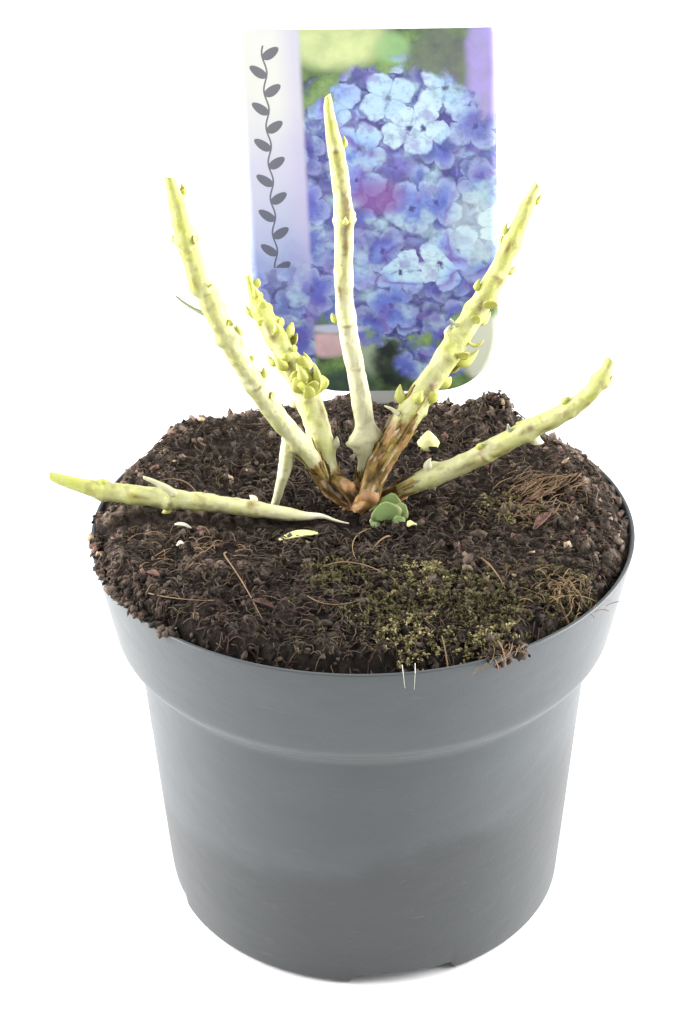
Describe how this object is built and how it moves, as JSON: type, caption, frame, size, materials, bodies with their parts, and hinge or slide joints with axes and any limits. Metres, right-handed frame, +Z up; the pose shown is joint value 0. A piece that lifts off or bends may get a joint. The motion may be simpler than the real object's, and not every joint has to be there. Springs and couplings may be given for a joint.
{
  "type": "potted hydrangea shrub",
  "caption": "Young leafless garden shrub with bare canes on a woody stool, in a round plastic nursery pot of compost with a picture label on a spike.",
  "frame": {"origin": "middle of the pot's flat underside", "axes": "+Z up out of the pot, +Y towards the side where the label stands, +X to the right of someone who reads the label"},
  "size_m": [0.2026, 0.19, 0.2983],
  "materials": {
    "pot": "satin",
    "compost": "matte",
    "bark": "matte",
    "cane": "matte",
    "label": "gloss"
  },
  "bodies": {
    "root": {"pot": "pot", "compost": "compost", "stool": "bark", "cane_left_inner": "cane", "cane_left_tall": "cane", "cane_right_tall": "cane", "cane_centre_tall": "cane", "cane_right_low": "cane", "cane_lying_left": "cane", "shoot_drooping": "cane", "label": "label"}
  },
  "joints": []
}
